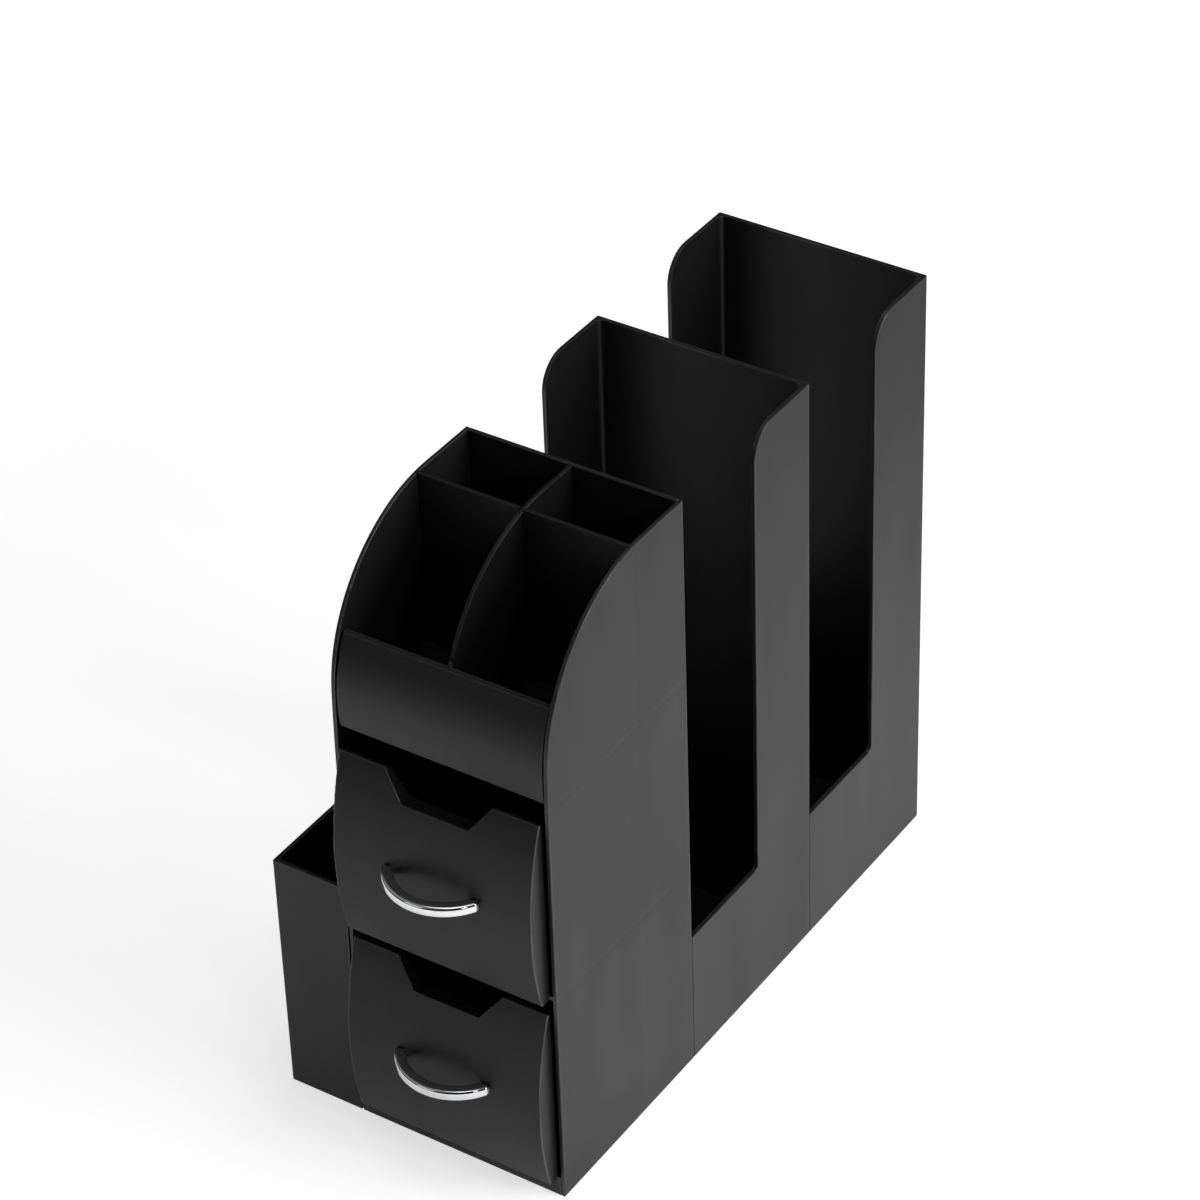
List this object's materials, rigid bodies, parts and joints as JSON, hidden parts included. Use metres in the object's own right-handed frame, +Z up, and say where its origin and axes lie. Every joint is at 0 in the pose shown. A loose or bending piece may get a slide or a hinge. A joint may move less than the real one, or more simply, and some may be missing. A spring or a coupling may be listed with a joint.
{
  "type": "coffee pod organizer",
  "caption": "Countertop organizer with bow-handled drawers under a bowed fascia and divided open-top compartments, tall open bays behind and a low open box at its left side.",
  "frame": {"origin": "centre of the flat underside that the cabinet and the two tall bays share, without the side box", "axes": "+X to the object's right, away from the side box; +Y to the rear, away from the drawers; +Z up"},
  "size_m": [0.1445, 0.3293, 0.3],
  "materials": {
    "body_plastic": "fine even texture, matte",
    "divider_plastic": "fine even texture, matte",
    "front_plastic": "fine even texture, slight sheen",
    "tray_plastic": "plain moulded, matte",
    "rivet_plastic": "plain moulded",
    "chrome": "bright polished",
    "steel": "zinc plated"
  },
  "bodies": {
    "organizer": {"right_side_panel": "body_plastic", "left_side_panel": "body_plastic", "cabinet_back": "body_plastic", "cabinet_base": "body_plastic", "drawer_shelf": "body_plastic", "compartment_floor": "divider_plastic", "fascia": "front_plastic", "cross_divider": "divider_plastic", "centre_divider": "divider_plastic", "middle_tall_bay": "body_plastic", "rear_tall_bay": "body_plastic", "side_box": "body_plastic", "cabinet_to_bay_rivets": "rivet_plastic", "bay_to_bay_rivets": "rivet_plastic", "side_box_rivets": "rivet_plastic"},
    "lower_drawer": {"lower_drawer_front": "front_plastic", "lower_drawer_tray": "tray_plastic", "lower_drawer_handle": "chrome", "lower_handle_screws": "steel"},
    "upper_drawer": {"upper_drawer_front": "front_plastic", "upper_drawer_tray": "tray_plastic", "upper_drawer_handle": "chrome", "upper_handle_screws": "steel"}
  },
  "joints": [
    {"name": "lower_drawer_slide", "type": "slide", "parent": "organizer", "child": "lower_drawer", "axis": [0, -1, 0], "range_m": [0, 0.08]},
    {"name": "upper_drawer_slide", "type": "slide", "parent": "organizer", "child": "upper_drawer", "axis": [0, -1, 0], "range_m": [0, 0.08]}
  ]
}
